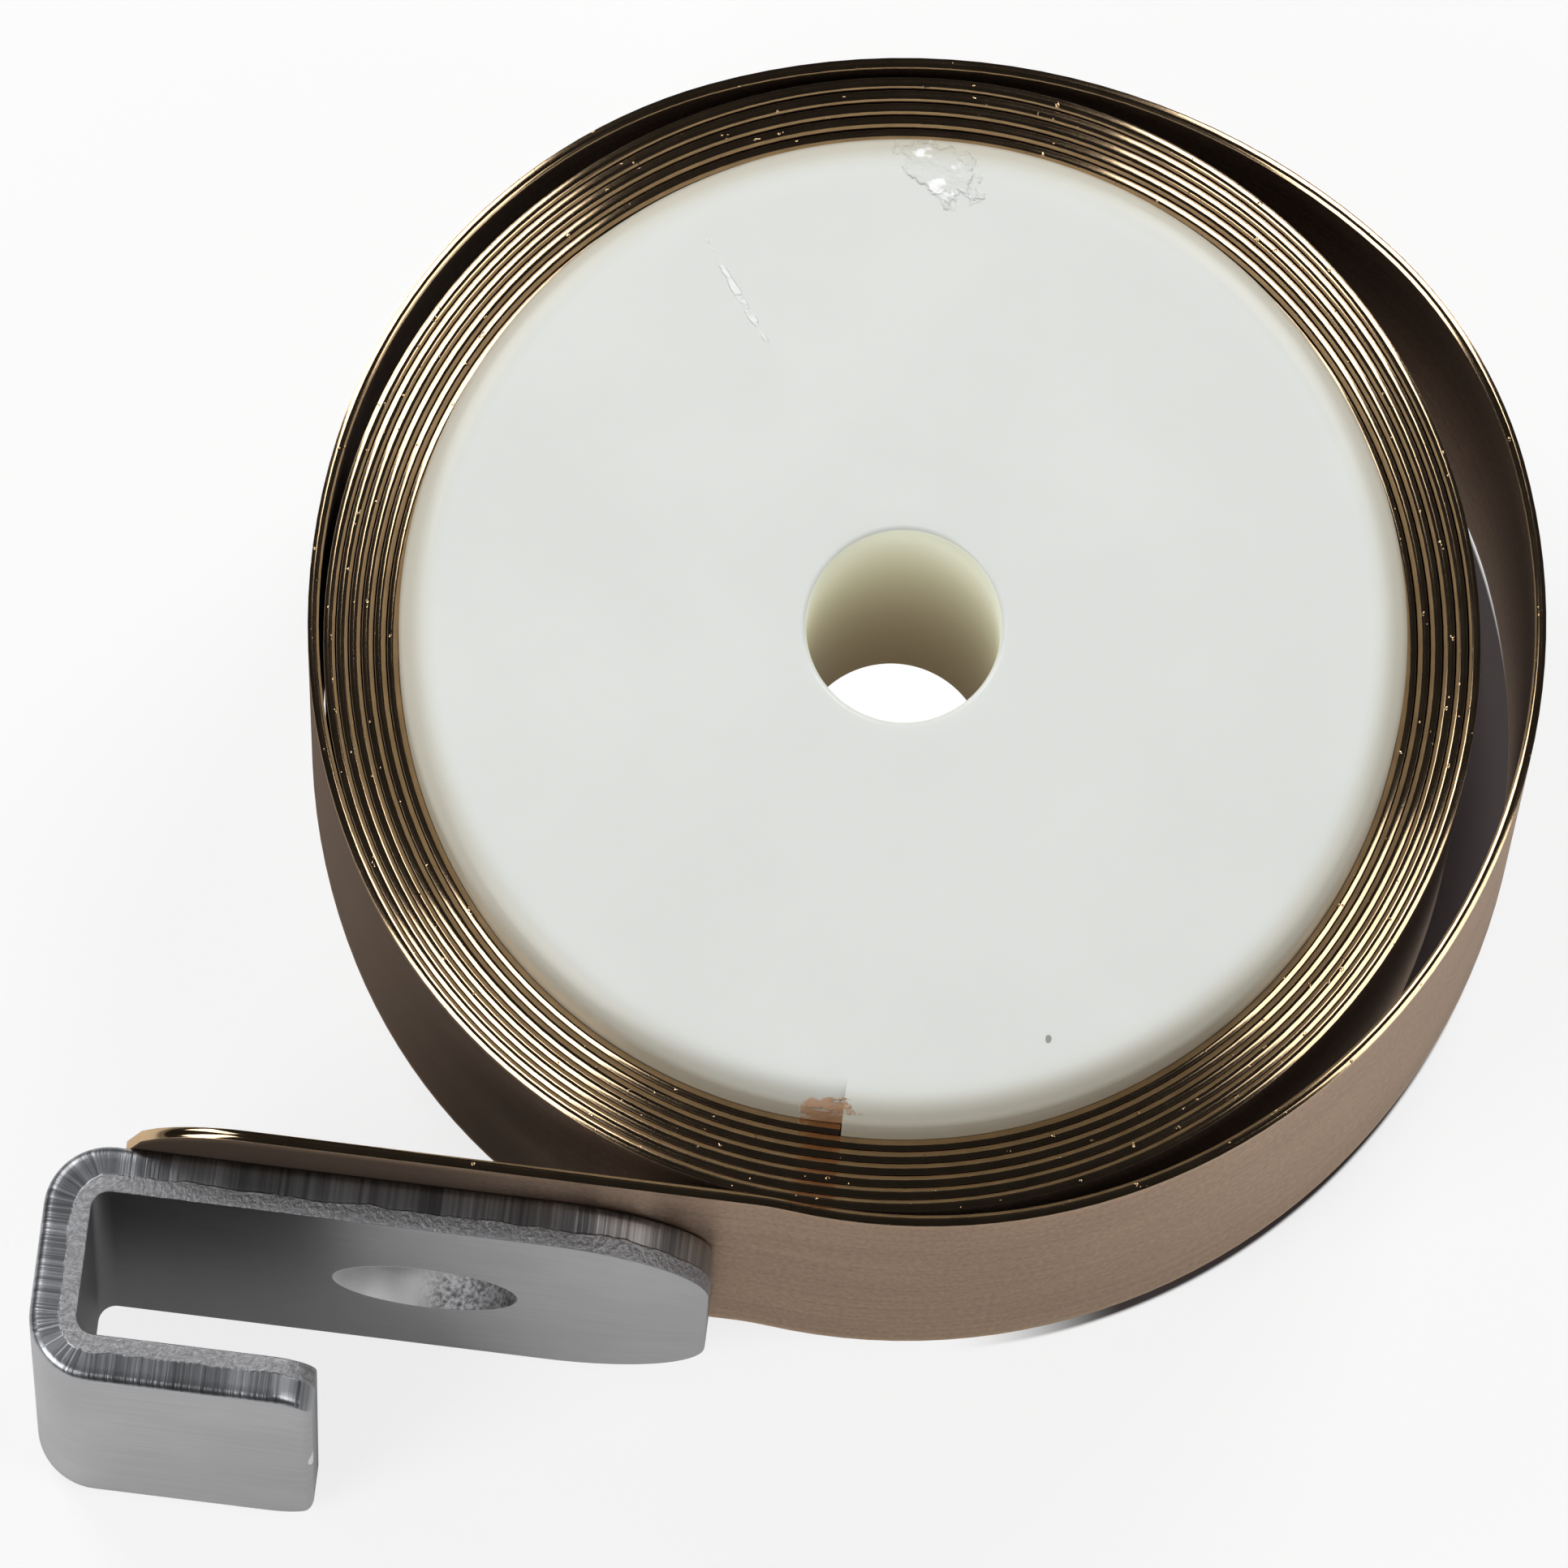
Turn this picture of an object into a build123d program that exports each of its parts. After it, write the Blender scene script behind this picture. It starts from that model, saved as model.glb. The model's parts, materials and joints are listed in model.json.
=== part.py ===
from build123d import *
import math
import os

os.makedirs("parts", exist_ok=True)

# Constant force spring: a flat steel strip wound on a moulded drum, with a hook clip on its free end.
# Millimetres. Z is the drum axis, z = 0 the drum's lower face, and the free end runs toward -X.

# ---------------------------------------------------------------- drum
bore_diameter = 6.35
drum_radius = 16.4
drum_width = 22.0
drum_edge_round = 1.0
bore_edge_chamfer = 0.2
seat_start_angle = 209.0  # degrees; the strip's seat runs from here down to the step at 270

# ---------------------------------------------------------------- strip
strip_thickness = 0.36
strip_width = 19.05
strip_setback = 2.95  # strip's upper edge below the drum's upper face
strip_edge_break = 0.1
tight_turns = 6
turn_clearance = 0.057  # mean air between neighbouring turns
pack_drift = 0.02  # each turn's centre lies this much further toward +Y
drum_clearance = 0.02  # air between the drum and the first turn
step_clearance = 0.05  # air between the strip's inner end and the drum's step
nip_clearance = 0.04  # air between the pack and the outer turn where they pass at the bottom

# the loose outer turn: tangent arcs, each so much wider or tighter than the pack under it, and each ending
# at the stated direction from its own centre
lift_off_gain = 1.7
lift_off_end = 170.0
shoulder_loss = 1.2
shoulder_end = 113.0
crown_gain = 4.2
crown_end = 54.0
knuckle_loss = 3.8
knuckle_end = 22.0
tail_rise_angle = 6.0  # the strip climbs at this slope between the sweep and the straight run
tail_rise_bend = 12.0
tail_inset = 0.08  # straight run's mid-plane inside the pack's radius, at the upper edge
tail_lean = 0.6  # how much further out the lower edge of the outer turn lies
tail_end_x = -23.1
tail_corner_radius = 4.0

# ---------------------------------------------------------------- hook clip
clip_thickness = 1.55
clip_width = 18.6
clip_setback = 3.1  # clip's upper edge below the strip's upper edge
clip_web_x = -25.5  # outside face of the hook's web
clip_end_x = -3.7
clip_end_corner = 5.3
hook_gap = 4.75
hook_leg = 9.5  # short leg, from the outside face of the web
hook_end_corner = 1.5
bend_inside_radius = 0.6
clip_hole_diameter = 6.1
clip_hole_x = -13.05
clip_clearance = 0.02  # air between clip and strip
collar_wall = 0.5
collar_clearance = 0.1
collar_flange = 0.45
flange_taper = 30.0

# ---------------------------------------------------------------- derived
turn_pitch = strip_thickness + turn_clearance
pack_radius = drum_radius + tight_turns * turn_pitch
tail_offset = pack_radius - tail_inset
step_height = turn_pitch - pack_drift
seat_radius = drum_radius - step_height / (1.0 + math.sin(math.radians(seat_start_angle)))
strip_top = drum_width - strip_setback
strip_bottom = strip_top - strip_width
lean_angle = math.degrees(math.atan2(tail_lean, strip_width))
half = strip_thickness / 2
cut_reach = 1.5  # how far a cutting tool passes beyond what it cuts
sliver = 0.01  # width of the slice in which edges and corners are looked for
# each level of the strip: height, and half the thickness there
levels = [
    (strip_bottom, half - strip_edge_break),
    (strip_bottom + strip_edge_break, half),
    (strip_top - strip_edge_break, half),
    (strip_top, half - strip_edge_break),
]


def direction(angle):
    return (math.cos(math.radians(angle)), math.sin(math.radians(angle)))


seat_centre = tuple((drum_radius - seat_radius) * d for d in direction(seat_start_angle))


def centre_line(flare):
    """The strip's centre line from its inner end: lines (start, end, facing), arcs (centre, radius, from, to)."""
    path = []

    def line(p, q, facing):
        path.append(("line", p, q, facing))
        return q

    def arc(p, radius, a, b):
        n, m = direction(a), direction(b)
        c = (p[0] - radius * n[0], p[1] - radius * n[1])
        path.append(("arc", c, radius, a, b))
        return (c[0] + radius * m[0], c[1] + radius * m[1])

    base = drum_clearance + half
    for k in range(tight_turns + 1):
        seat = seat_radius + base + k * turn_pitch
        bottom = (seat_centre[0], seat_centre[1] + pack_drift * k - seat)
        p = line((-step_clearance if k == 0 else 0.0, bottom[1]), bottom, 270.0)
        p = arc(p, seat, 270.0, seat_start_angle)
        if k < tight_turns:
            p = arc(p, drum_radius + base + k * turn_pitch, seat_start_angle, 90.0)
            p = arc(p, drum_radius + base + k * turn_pitch, 90.0, -90.0)
            low = -p[1] + strip_thickness + nip_clearance
    p = arc(p, pack_radius + lift_off_gain, seat_start_angle, lift_off_end)
    p = arc(p, pack_radius - shoulder_loss, lift_off_end, shoulder_end)
    p = arc(p, pack_radius + crown_gain, shoulder_end, crown_end)
    p = arc(p, pack_radius - knuckle_loss, crown_end, knuckle_end)
    sweep = (p[1] + low + tail_lean * flare) / (1.0 + math.sin(math.radians(knuckle_end)))
    p = arc(p, sweep, knuckle_end, -90.0 - tail_rise_angle)
    slope = math.radians(tail_rise_angle)
    climb = low - tail_offset - (sweep + tail_rise_bend) * (1.0 - math.cos(slope))
    ramp = climb / math.sin(slope)
    p = line(p, (p[0] - ramp * math.cos(slope), p[1] + ramp * math.sin(slope)), -90.0 - tail_rise_angle)
    p = arc(p, -tail_rise_bend, -90.0 - tail_rise_angle, -90.0)
    line(p, (tail_end_x, p[1]), -90.0)
    return path


def side_edges(path, offset):
    """The curve beside the centre line, moved outward by the offset."""
    edges = []
    for kind, a, b, *turn in path:
        if kind == "line":
            n = direction(turn[0])
            shift = (offset * n[0], offset * n[1])
            edges.append(Edge.make_line((a[0] + shift[0], a[1] + shift[1]), (b[0] + shift[0], b[1] + shift[1])))
        else:
            marks = [direction(t) for t in (turn[0], (turn[0] + turn[1]) / 2, turn[1])]
            r = b + offset
            edges.append(Edge.make_three_point_arc(*[(a[0] + r * m[0], a[1] + r * m[1]) for m in marks]))
    return edges


def strip_faces():
    """Ruled bands between neighbouring levels on both sides, then the two flat edges and the two ends."""
    rows = []
    for z, h in levels:
        path = centre_line((strip_top - z) / strip_width)
        rows.append([[Location((0, 0, z)) * e for e in side_edges(path, side * h)] for side in (1, -1)])
    faces = []
    for low, high in zip(rows[:-1], rows[1:]):
        for side in (0, 1):
            faces += [Face.make_surface_from_curves(a, b) for a, b in zip(low[side], high[side])]
    for outer, inner in (rows[0], rows[-1]):
        caps = [Edge.make_line(outer[0] @ 0, inner[0] @ 0), Edge.make_line(outer[-1] @ 1, inner[-1] @ 1)]
        faces.append(Face(Wire(outer + inner + caps)))
    for i in (0, -1):
        ring = [row[0][i] @ abs(i) for row in rows] + [row[1][i] @ abs(i) for row in reversed(rows)]
        faces.append(Face(Wire.make_polygon(ring, close=True)))
    return faces


# the straight run's outside face: x along the strip, y up its leaning width from the lower edge, z out of the face
face_lean = math.radians(lean_angle)
tail_plane = Plane(
    origin=(0, -(tail_offset + tail_lean) - half, strip_bottom),
    x_dir=(1, 0, 0),
    z_dir=(0, -math.cos(face_lean), math.sin(face_lean)),
)
slant_width = strip_width / math.cos(face_lean)
clip_top = slant_width - clip_setback
clip_bottom = clip_top - clip_width
hole_height = (clip_top + clip_bottom) / 2
with BuildPart() as spring_strip:
    add(Solid(Shell(strip_faces())))
    # rounded corners of the free end
    with BuildSketch(tail_plane.offset(-strip_thickness - cut_reach)):
        for y, s in ((0, 1), (slant_width, -1)):
            rise, edge = y + s * tail_corner_radius, y - s * cut_reach
            inner, end = tail_end_x + tail_corner_radius, tail_end_x - cut_reach
            with BuildLine():
                Polyline((inner, y), (inner, edge), (end, edge), (end, rise), (tail_end_x, rise))
                RadiusArc((tail_end_x, rise), (inner, y), -s * tail_corner_radius)
            make_face()
    extrude(amount=strip_thickness + 2 * cut_reach, mode=Mode.SUBTRACT)
    # hole the clip's collar passes through
    with BuildSketch(tail_plane.offset(-strip_thickness - cut_reach)):
        with Locations((clip_hole_x, hole_height)):
            Circle(clip_hole_diameter / 2 + collar_wall + collar_clearance)
    extrude(amount=strip_thickness + 2 * cut_reach, mode=Mode.SUBTRACT)
spring_strip.part.label = "spring_strip"
export_step(spring_strip.part, "parts/spring_strip.step")

with BuildPart() as drum:
    with BuildSketch():
        Circle(drum_radius)
        Circle(bore_diameter / 2, mode=Mode.SUBTRACT)
    extrude(amount=drum_width)
    chamfer(drum.edges().filter_by(GeomType.CIRCLE).group_by(SortBy.RADIUS)[0], bore_edge_chamfer)
    fillet(drum.edges().filter_by(GeomType.CIRCLE).group_by(SortBy.RADIUS)[-1], drum_edge_round)
    # snail seat for the strip's inner end
    with BuildSketch():
        with BuildLine():
            seat_low = (seat_centre[0], seat_centre[1] - seat_radius)
            start, clear = direction(seat_start_angle), drum_radius + cut_reach
            seat_start = (drum_radius * start[0], drum_radius * start[1])
            outside = (clear * start[0], clear * start[1])
            CenterArc(seat_centre, seat_radius, seat_start_angle, 270 - seat_start_angle)
            Line(seat_low, (0, seat_low[1]))
            Line((0, seat_low[1]), (0, -clear))
            CenterArc((0, 0), clear, 270, seat_start_angle - 270)
            Line(outside, seat_start)
        make_face()
    extrude(amount=drum_width, mode=Mode.SUBTRACT)
drum.part.label = "drum"
export_step(drum.part, "parts/drum.step")

# ---------------------------------------------------------------- hook clip
leg_face = -clip_clearance
leg_inside = leg_face - clip_thickness
hook_inside = leg_inside - hook_gap
hook_outside = hook_inside - clip_thickness
hook_end_x = clip_web_x + hook_leg
web_inside_x = clip_web_x + clip_thickness
profile_plane = Plane(
    origin=tail_plane.origin + tail_plane.y_dir * clip_bottom,
    x_dir=(1, 0, 0),
    z_dir=tail_plane.y_dir,
)
collar_radius = clip_hole_diameter / 2 + collar_wall
flange_face = strip_thickness + clip_clearance

with BuildPart() as hook_clip:
    with BuildSketch(profile_plane):
        with BuildLine():
            Polyline(
                (clip_end_x, leg_face),
                (clip_web_x, leg_face),
                (clip_web_x, hook_outside),
                (hook_end_x, hook_outside),
                (hook_end_x, hook_inside),
                (web_inside_x, hook_inside),
                (web_inside_x, leg_inside),
                (clip_end_x, leg_inside),
                close=True,
            )
        make_face()
        outside = vertices().group_by(Axis.X)[0]
        fillet(outside, bend_inside_radius + clip_thickness)
        inside = vertices().filter_by_position(Axis.X, web_inside_x - sliver, web_inside_x + sliver)
        fillet(inside, bend_inside_radius)
    extrude(amount=clip_width)
    for end_x, radius in ((clip_end_x, clip_end_corner), (hook_end_x, hook_end_corner)):
        ends = hook_clip.edges().filter_by(Axis(tail_plane.origin, tail_plane.z_dir))
        fillet(ends.filter_by_position(Axis.X, end_x - sliver, end_x + sliver), radius)
    # collar drawn from the clip's own metal, through the strip and flared over its far side
    with BuildSketch(tail_plane.offset(-leg_face)):
        with Locations((clip_hole_x, hole_height)):
            Circle(collar_radius)
    extrude(amount=-(flange_face + collar_flange + clip_clearance))
    with BuildSketch(tail_plane.offset(-flange_face)):
        with Locations((clip_hole_x, hole_height)):
            Circle(collar_radius + collar_wall)
    extrude(amount=-collar_flange, taper=flange_taper)
    with BuildSketch(tail_plane.offset(clip_thickness + cut_reach)):
        with Locations((clip_hole_x, hole_height)):
            Circle(clip_hole_diameter / 2)
    extrude(amount=-(clip_thickness + flange_face + collar_flange + 2 * cut_reach), mode=Mode.SUBTRACT)
hook_clip.part.label = "hook_clip"
export_step(hook_clip.part, "parts/hook_clip.step")
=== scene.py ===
import json
import math

import bpy
import numpy as np
from bpy.props import FloatProperty, FloatVectorProperty, IntProperty, PointerProperty
from mathutils import Matrix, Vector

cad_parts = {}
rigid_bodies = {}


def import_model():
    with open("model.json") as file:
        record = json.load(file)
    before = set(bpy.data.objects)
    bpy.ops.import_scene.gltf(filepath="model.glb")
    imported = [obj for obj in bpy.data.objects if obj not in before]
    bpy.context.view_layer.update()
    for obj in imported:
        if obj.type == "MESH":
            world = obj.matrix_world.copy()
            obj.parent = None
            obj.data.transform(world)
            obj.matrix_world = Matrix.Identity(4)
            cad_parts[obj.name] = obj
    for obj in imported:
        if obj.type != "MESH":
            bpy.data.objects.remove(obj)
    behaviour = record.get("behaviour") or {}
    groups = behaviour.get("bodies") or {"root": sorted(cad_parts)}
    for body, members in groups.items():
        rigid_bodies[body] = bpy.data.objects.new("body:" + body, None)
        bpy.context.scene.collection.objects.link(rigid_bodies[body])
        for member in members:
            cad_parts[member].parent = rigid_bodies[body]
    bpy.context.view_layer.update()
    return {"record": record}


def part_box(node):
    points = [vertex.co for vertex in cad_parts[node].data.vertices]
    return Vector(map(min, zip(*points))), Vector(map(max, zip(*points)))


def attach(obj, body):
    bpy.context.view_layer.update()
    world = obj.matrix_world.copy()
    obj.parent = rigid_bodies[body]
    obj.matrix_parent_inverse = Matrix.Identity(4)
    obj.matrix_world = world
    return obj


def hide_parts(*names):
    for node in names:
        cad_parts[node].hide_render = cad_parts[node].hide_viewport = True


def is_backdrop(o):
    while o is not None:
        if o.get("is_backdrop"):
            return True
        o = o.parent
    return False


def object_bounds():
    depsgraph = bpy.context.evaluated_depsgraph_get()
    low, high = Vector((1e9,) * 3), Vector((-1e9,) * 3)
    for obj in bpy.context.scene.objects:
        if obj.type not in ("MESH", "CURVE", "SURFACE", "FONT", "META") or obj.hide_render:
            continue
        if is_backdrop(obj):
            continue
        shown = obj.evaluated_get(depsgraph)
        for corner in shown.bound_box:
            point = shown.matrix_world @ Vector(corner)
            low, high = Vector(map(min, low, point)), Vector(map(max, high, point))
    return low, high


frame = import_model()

bl_info = {
    "name": "Constant force spring",
    "version": (1, 0, 0),
    "blender": (4, 5, 0),
    "location": "View3D > Sidebar > Spring",
    "description": "Builds a strip spring wound on a drum, with a hook clip, and a plain studio",
    "category": "Add Mesh",
}

MM = 0.001
DRUM_LOW, DRUM_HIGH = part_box("drum")
STRIP_LOW, STRIP_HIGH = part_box("spring_strip")
CLIP_LOW, CLIP_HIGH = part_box("hook_clip")
MOUNTS = {mount["name"]: mount for mount in frame["record"]["mounts"]}
BORE = MOUNTS["bore"]["dims"]["r_mm"] * MM
CLIP_HOLE = MOUNTS["clip_hole"]["dims"]["r_mm"] * MM
CLIP_HOLE_AT = MOUNTS["clip_hole"]["pos_m"]


# ------------------------------------------------------------------ sizes and colours a user would change
def size(label, note, value, **more):
    """A length in metres, given here in millimetres."""
    return FloatProperty(
        name=label, description=note, default=value * MM, unit="LENGTH", precision=5, **more
    )


def angle(label, note, value):
    """An angle, given here in degrees."""
    return FloatProperty(
        name=label, description=note, default=math.radians(value), subtype="ANGLE"
    )


def colour(label, note, value):
    """A plain colour."""
    return FloatVectorProperty(
        name=label, description=note, default=value, subtype="COLOR", size=3, min=0, max=1
    )


class StripSizes(bpy.types.PropertyGroup):
    thickness: size("Thickness", "Thickness of the strip", 0.36)
    edge_crown: size("Edge crown", "How far the strip's edges are rounded over", 0.07)
    tight_turns: IntProperty(
        name="Tight turns", description="Turns wound close on the drum", default=6, min=1
    )
    turn_gap: size("Turn gap", "Mean air between neighbouring turns", 0.057)
    pack_drift: size("Pack drift", "How much further toward +Y each turn's centre lies", 0.02)
    drum_gap: size("Drum gap", "Air between the drum and the first turn", 0.02)
    step_gap: size("Step gap", "Air between the strip's inner end and the drum's step", 0.05)
    nip_gap: size("Nip gap", "Air between the pack and the outer turn where they pass", 0.04)
    lift_off_gain: size("Lift-off gain", "Extra radius of the loose turn's first arc", 1.7)
    lift_off_end: angle("Lift-off end", "Direction at which the first arc ends", 170)
    shoulder_loss: size("Shoulder loss", "How much tighter the second arc is", 1.2)
    shoulder_end: angle("Shoulder end", "Direction at which the second arc ends", 113)
    crown_gain: size("Crown gain", "Extra radius of the third arc", 4.2)
    crown_end: angle("Crown end", "Direction at which the third arc ends", 54)
    knuckle_loss: size("Knuckle loss", "How much tighter the fourth arc is", 3.8)
    knuckle_end: angle("Knuckle end", "Direction at which the fourth arc ends", 22)
    rise_angle: angle("Rise", "Slope of the strip between the sweep and the straight run", 6)
    rise_bend: size("Rise bend", "Radius of the bend at the rise's end", 12)
    tail_inset: size("Tail inset", "How far inside the pack's radius the straight run lies", 0.08)
    tail_lean: size("Tail lean", "How much further out the outer turn's lower edge lies", 0.6)
    end_corner: size("End corner", "Corner radius of the free end", 4.0)


class DrumSizes(bpy.types.PropertyGroup):
    edge_round: size("Edge round", "Radius of the drum's outer edges", 1.0)
    bore_round: size("Bore round", "Radius of the bore's edges", 0.2)
    seat_start: angle("Seat start", "Direction at which the strip's seat begins", 209)


class ClipSizes(bpy.types.PropertyGroup):
    thickness: size("Thickness", "Thickness of the sheet", 1.55)
    bend: size("Bend", "Inside radius of the two bends", 0.6)
    width: size("Width", "Width of the clip", 18.6)
    setback: size("Setback", "Clip's upper edge below the strip's upper edge", 3.1)
    gap: size("Gap", "Space between the two legs", 4.75)
    strip_gap: size("Strip gap", "Air between clip and strip", 0.02)
    leg_corner: size("Leg corner", "Corner radius at the long leg's end", 5.3)
    hook_corner: size("Hook corner", "Corner radius at the short leg's end", 1.5)
    hook_leg: size("Hook leg", "Length of the short leg from the web's outside", 9.5)
    outer_roll: size("Outer roll", "Rolled edge on the outside of the sheet", 0.3)
    inner_roll: size("Inner roll", "Edge break on the inside of the sheet", 0.06)
    collar_wall: size("Collar wall", "Wall of the drawn collar", 0.5)
    collar_gap: size("Collar gap", "Air round the collar in the strip's hole", 0.1)
    collar_flange: size("Collar flange", "Height of the collar's flared end", 0.45)
    flange_taper: angle("Flange taper", "Slope of the flared end's side", 30)


class Finishes(bpy.types.PropertyGroup):
    strip_face: colour("Strip face", "Tempered steel on the strip's two faces", (0.30, 0.215, 0.165))
    # painted shade: a darker colour on one side of the strip's faces, standing in for the dark
    # surroundings they reflect there
    strip_tint: colour("Strip tint", "Darker painted shade on one side", (0.13, 0.095, 0.075))
    strip_sheen: colour("Strip sheen", "Tint of the strip seen at a flat angle", (1.0, 0.86, 0.72))
    # painted shade: the direction and the spread of that darker side
    tint_side: angle("Tint side", "Direction of the darker side", 207)
    tint_full: angle("Tint full", "The side's full tint reaches this far each way", 24)
    tint_fades: angle("Tint fades", "The side's tint ends this far each way", 44)
    strip_edge: colour("Strip edge", "Steel on the strip's slit edges", (0.60, 0.43, 0.26))
    nylon: colour("Nylon", "Body of the drum", (0.67, 0.69, 0.66))
    # painted shade: the rim's colour stands in for the shade on its rounded edge and the strip's brown
    # seen through the thin nylon
    nylon_rim: colour("Nylon rim", "Drum's rim, painted darker for its shade", (0.52, 0.49, 0.40))
    # painted shade: the bore's colour toward its lower end stands in for the shade deep in it
    nylon_bore: colour("Nylon bore", "Drum's bore toward its lower end", (0.28, 0.19, 0.07))
    bore_glow: colour("Bore glow", "Light that the nylon carries into the bore", (0.26, 0.26, 0.18))
    bore_deep_glow: colour("Deep bore glow", "Light in the lower bore", (0.05, 0.03, 0.004))
    brass: colour("Flake", "Torn flake at the strip's inner end", (0.50, 0.30, 0.18))
    aluminium: colour("Aluminium", "Rolled faces of the clip", (0.49, 0.49, 0.50))
    sheared: colour("Sheared edge", "Burnished part of the clip's cut edges", (0.36, 0.37, 0.39))
    torn: colour("Torn edge", "Broken part of the clip's cut edges", (0.36, 0.36, 0.37))
    floor: colour("Floor", "Studio floor", (0.90, 0.90, 0.90))
    floor_under: colour("Floor under the coil", "Studio floor in the coil's shade", (0.10, 0.085, 0.085))


class Studio(bpy.types.PropertyGroup):
    azimuth: angle("Azimuth", "Direction of the camera from the part, from +X toward +Y", -87.04)
    elevation: angle("Elevation", "Height of the camera above the floor plane", 78.83)
    roll: angle("Roll", "Turn of the camera about its own line of sight", 4.14)
    distance: size("Distance", "Camera from the point it looks at", 708.0)
    lens: FloatProperty(name="Lens", description="Focal length for a 36 mm frame", default=493.6)
    aim: FloatVectorProperty(
        name="Aim",
        description="Point the camera looks at",
        default=(-0.00333, -0.00351, 0.011),
        subtype="XYZ",
        unit="LENGTH",
    )
    lamp_distance: size("Lamp distance", "Lamps from the drum's axis", 180)
    lamp_low: angle("Lamp low", "Height at which the part sees each lamp's lower edge", 22)
    lamp_high: angle("Lamp high", "Height at which the part sees each lamp's upper edge", 66)
    lamp_half_width: angle("Lamp half width", "Half the angle across each lamp, seen from the part", 15)
    lamp_radiance: FloatProperty(
        name="Lamp strength", description="Brightness of each soft lamp's face", default=4.65
    )


GROUPS = {"strip": StripSizes, "drum": DrumSizes, "clip": ClipSizes, "finish": Finishes, "studio": Studio}


# ------------------------------------------------------------------ shader helpers
class Number:
    """A value in a material; arithmetic on it adds the Math nodes."""

    def __init__(self, finish, socket):
        self.finish, self.socket = finish, socket

    def math(self, operation, *others):
        values = dict(enumerate((self, *others)))
        return self.finish.number("ShaderNodeMath", 0, values, operation=operation)

    def __add__(self, other):
        return self.math("ADD", other)

    def __sub__(self, other):
        return self.math("SUBTRACT", other)

    def __rsub__(self, other):
        return self.finish.number("ShaderNodeMath", 0, {0: other, 1: self}, operation="SUBTRACT")

    def __mul__(self, other):
        return self.math("MULTIPLY", other)

    def __truediv__(self, other):
        return self.math("DIVIDE", other)

    __radd__ = __add__
    __rmul__ = __mul__

    def step(self, low, high):
        """0 below low, 1 above high, and a smooth rise between; low above high turns it round."""
        values = {"Value": self, "From Min": low, "From Max": high}
        return self.finish.number("ShaderNodeMapRange", 0, values, interpolation_type="SMOOTHSTEP")


class Finish:
    """A material under construction."""

    def __init__(self, name):
        self.material = bpy.data.materials.new(name)
        self.material.use_nodes = True
        self.tree = self.material.node_tree
        self.tree.nodes.clear()

    def node(self, kind, values=(), **settings):
        """Adds a node: settings are set first, then its sockets get the values or links."""
        node = self.tree.nodes.new(kind)
        for key, value in settings.items():
            setattr(node, key, value)
        for key, value in dict(values).items():
            socket = node.inputs[key]
            if isinstance(value, Number):
                value = value.socket
            if isinstance(value, bpy.types.NodeSocket):
                self.tree.links.new(value, socket)
            elif socket.type == "RGBA" and len(value) == 3:
                socket.default_value = (*value, 1.0)
            else:
                socket.default_value = value
        return node

    def number(self, kind, output, values=(), **settings):
        return Number(self, self.node(kind, values, **settings).outputs[output])

    def mix(self, factor, a, b):
        """Colour a where the factor is 0 and b where it is 1."""
        return self.node("ShaderNodeMix", {0: factor, 6: a, 7: b}, data_type="RGBA").outputs[2]

    def place(self, scale=(1, 1, 1), source="Object", centre=(0, 0, 0)):
        """Object or UV coordinates, centred and scaled."""
        coordinates = self.node("ShaderNodeTexCoord").outputs[source]
        values = {0: coordinates, 1: centre}
        moved = self.node("ShaderNodeVectorMath", values, operation="SUBTRACT").outputs[0]
        return self.node("ShaderNodeMapping", {"Vector": moved, "Scale": scale}).outputs[0]

    def noise(self, scale, detail=3.0, rough=0.55, **place):
        """Noise from 0 to 1, with about one feature in each unit of the scaled coordinates."""
        values = {"Scale": 1.0, "Detail": detail, "Roughness": rough}
        values["Vector"] = self.place(scale, **place)
        return self.number("ShaderNodeTexNoise", 0, values)

    def axes(self, vector):
        parts = self.node("ShaderNodeSeparateXYZ", {0: vector})
        return [Number(self, output) for output in parts.outputs]

    def distance(self, x, y):
        """Length of the vector (x, y)."""
        return (x * x + y * y).math("SQRT")

    def attribute(self, name):
        return self.number("ShaderNodeAttribute", "Fac", attribute_name=name)

    def bump(self, height, distance):
        values = {"Height": height, "Distance": distance, "Strength": 1.0}
        return self.node("ShaderNodeBump", values).outputs[0]

    def close(self, values):
        """Ends the material in one Principled shader with these socket values."""
        shader = self.node("ShaderNodeBsdfPrincipled", values)
        self.node("ShaderNodeOutputMaterial", {0: shader.outputs[0]})
        return self.material


def shaded(tone, share):
    """A colour made darker, or lighter above 1."""
    return [share * c for c in tone]


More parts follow.
